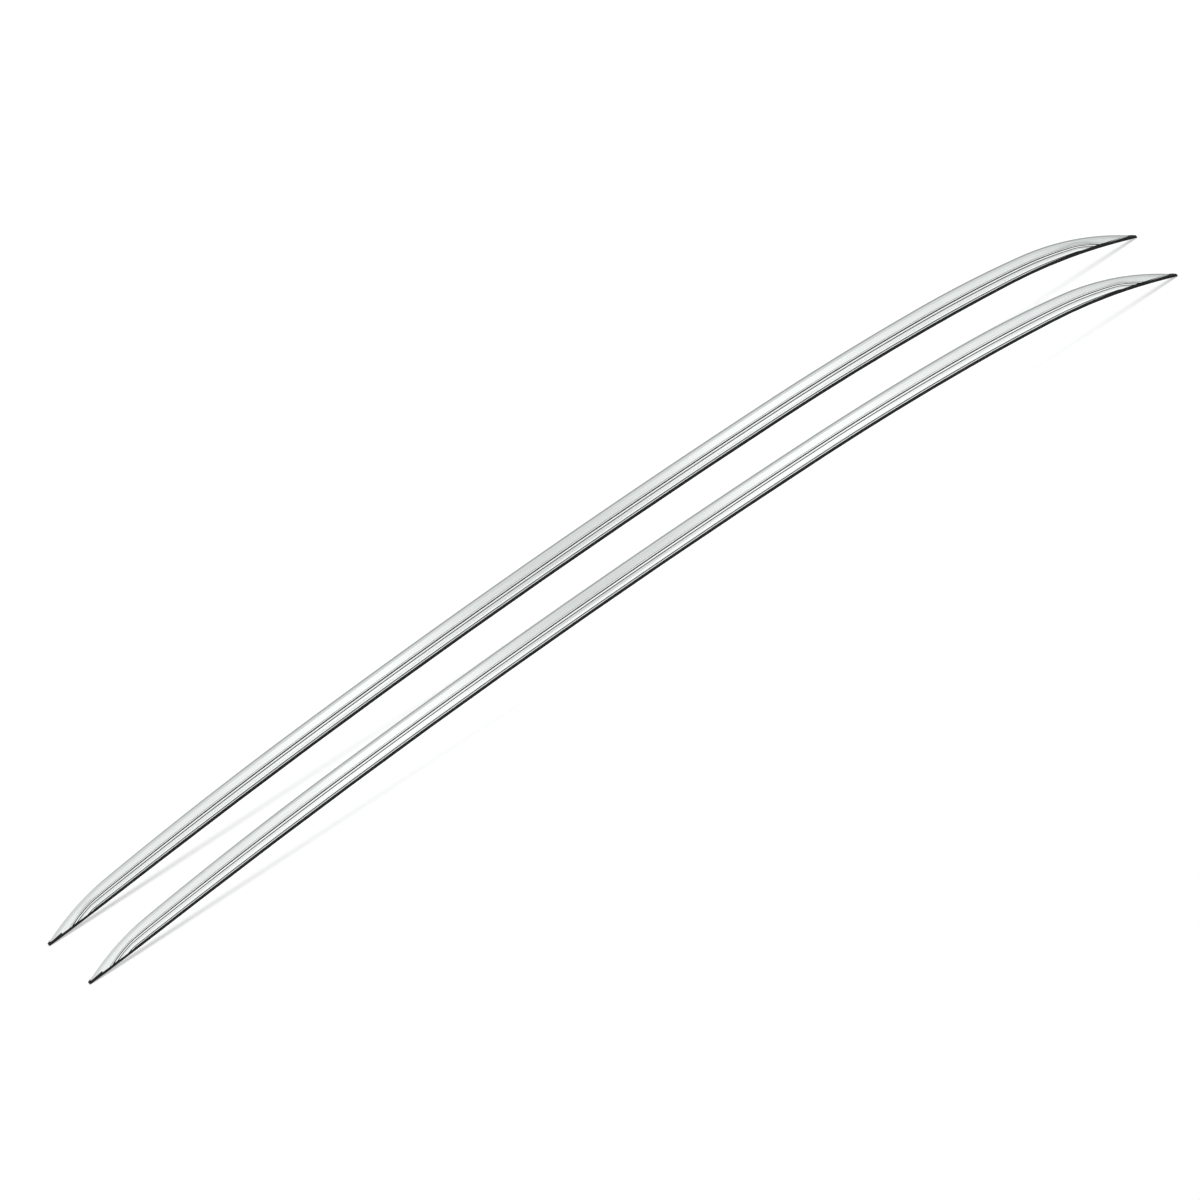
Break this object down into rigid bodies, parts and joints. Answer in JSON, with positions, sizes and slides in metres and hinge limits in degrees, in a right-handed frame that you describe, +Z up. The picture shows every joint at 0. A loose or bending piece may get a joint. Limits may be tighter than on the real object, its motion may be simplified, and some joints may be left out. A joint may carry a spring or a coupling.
{
  "type": "roof side rail pair",
  "caption": "Low arched roof side rails for a car: bent hollow aluminium extrusions with grooved flanks and tapering tips, each on a soft black base gasket.",
  "frame": {"origin": "bottom centre of the bounding box: midway between the two rails, on the plane the ends of their gaskets stand on", "axes": "+X along the rails towards the front of the car, +Y towards the car's left side, +Z up"},
  "size_m": [1.8625, 0.398, 0.0938],
  "materials": {
    "rail_aluminium": "bright satin anodised",
    "gasket_rubber": "matte",
    "plug_plastic": "fine grain",
    "fixing_steel": "zinc plated"
  },
  "bodies": {
    "root": {"left_rail": "rail_aluminium", "left_base_gasket": "gasket_rubber", "left_front_plug": "plug_plastic", "left_rear_plug": "plug_plastic", "left_nut_plate_1": "fixing_steel", "left_nut_plate_2": "fixing_steel", "left_nut_plate_3": "fixing_steel", "left_nut_plate_4": "fixing_steel", "left_nut_plate_5": "fixing_steel", "left_bolt_seals": "gasket_rubber", "right_rail": "rail_aluminium", "right_base_gasket": "gasket_rubber", "right_front_plug": "plug_plastic", "right_rear_plug": "plug_plastic", "right_nut_plate_1": "fixing_steel", "right_nut_plate_2": "fixing_steel", "right_nut_plate_3": "fixing_steel", "right_nut_plate_4": "fixing_steel", "right_nut_plate_5": "fixing_steel", "right_bolt_seals": "gasket_rubber"}
  },
  "joints": []
}
